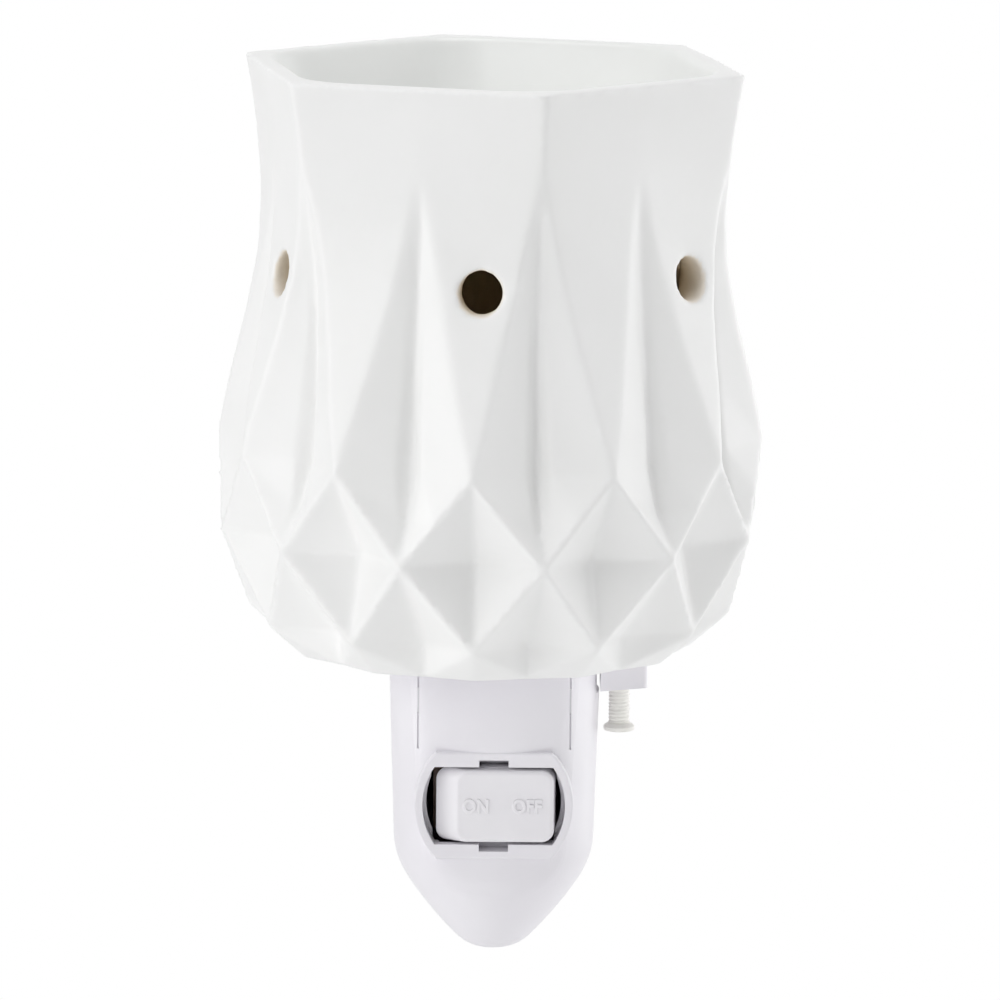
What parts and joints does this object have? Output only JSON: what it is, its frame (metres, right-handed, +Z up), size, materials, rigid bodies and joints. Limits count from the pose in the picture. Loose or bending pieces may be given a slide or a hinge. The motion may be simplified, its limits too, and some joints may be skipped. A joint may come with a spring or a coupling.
{
  "type": "wax melt warmer",
  "caption": "Plug-in wax melt warmer: faceted ceramic shade with a hexagonal melt bowl on a switched lamp base with a turning wall plug.",
  "frame": {"origin": "middle of the plug's wall face, on the axis the plug turns about", "axes": "+X to the right seen from the room, +Y into the wall along the plug blades, +Z up along the lamp"},
  "size_m": [0.0898, 0.1124, 0.1477],
  "materials": {
    "glazed_white": "satin white glaze",
    "base_plastic": "satin moulded",
    "plug_plastic": "satin moulded",
    "inner_plastic": "matt moulded",
    "nylon_cream": "natural nylon",
    "steel": "zinc plated",
    "blade_brass": "nickel-plated brass",
    "contact_brass": "bright rolled",
    "socket_phenolic": "moulded heat-proof",
    "lamp_glass": "clear",
    "lamp_cap": "nickel-plated brass",
    "lamp_insulator": "black glass",
    "solder": "dull solder",
    "tungsten": "drawn wire",
    "wire_black": "wire insulation",
    "wire_white": "wire insulation"
  },
  "bodies": {
    "housing": {"housing_front": "base_plastic", "housing_rear": "base_plastic", "housing_screws": "steel", "shade_seat": "base_plastic", "seat_screws": "steel", "swivel_ring": "base_plastic", "brush_board": "inner_plastic", "line_brush": "contact_brass", "neutral_brush": "contact_brass", "line_wire": "wire_black", "neutral_wire": "wire_white", "switched_wire": "wire_black", "switch_base": "inner_plastic", "switch_screws": "steel", "centre_terminal": "contact_brass", "end_terminal": "contact_brass", "socket_body": "socket_phenolic", "socket_shell": "contact_brass", "socket_contact": "contact_brass"},
    "shade": {"shade": "glazed_white"},
    "nylon_screw": {"nylon_screw": "nylon_cream"},
    "rocker": {"switch_rocker": "base_plastic", "switch_plunger": "inner_plastic", "switch_spring": "steel"},
    "seesaw": {"switch_seesaw": "contact_brass"},
    "bulb": {"bulb_glass": "lamp_glass", "bulb_cap": "lamp_cap", "bulb_insulator": "lamp_insulator", "bulb_tip": "solder", "bulb_stem": "lamp_glass", "bulb_filament": "tungsten"},
    "plug": {"plug_body": "plug_plastic", "line_blade": "blade_brass", "neutral_blade": "blade_brass"}
  },
  "joints": [
    {"name": "shade_lift", "type": "slide", "parent": "housing", "child": "shade", "axis": [0, 0, 1], "range_m": [0, 0.06]},
    {"name": "nylon_screw_drive", "type": "slide", "parent": "housing", "child": "nylon_screw", "axis": [0, 0, 1], "range_m": [0, 0.006]},
    {"name": "rocker_tilt", "type": "hinge", "parent": "housing", "child": "rocker", "pos_m": [0, -0.05815, 0.0024], "axis": [0, 0, 1], "range_deg": [-15, 0]},
    {"name": "seesaw_rock", "type": "hinge", "parent": "housing", "child": "seesaw", "pos_m": [0, -0.05246, 0.0024], "axis": [0, 0, 1], "range_deg": [0, 9]},
    {"name": "bulb_unscrew", "type": "slide", "parent": "housing", "child": "bulb", "axis": [0, 0, 1], "range_m": [0, 0.012]},
    {"name": "plug_swivel", "type": "hinge", "parent": "housing", "child": "plug", "pos_m": [0, 0, 0], "axis": [0, 1, 0], "range_deg": [0, 90]}
  ],
  "couplings": [
    {"joint": "seesaw_rock", "follows": "rocker_tilt", "ratio": -0.6}
  ]
}
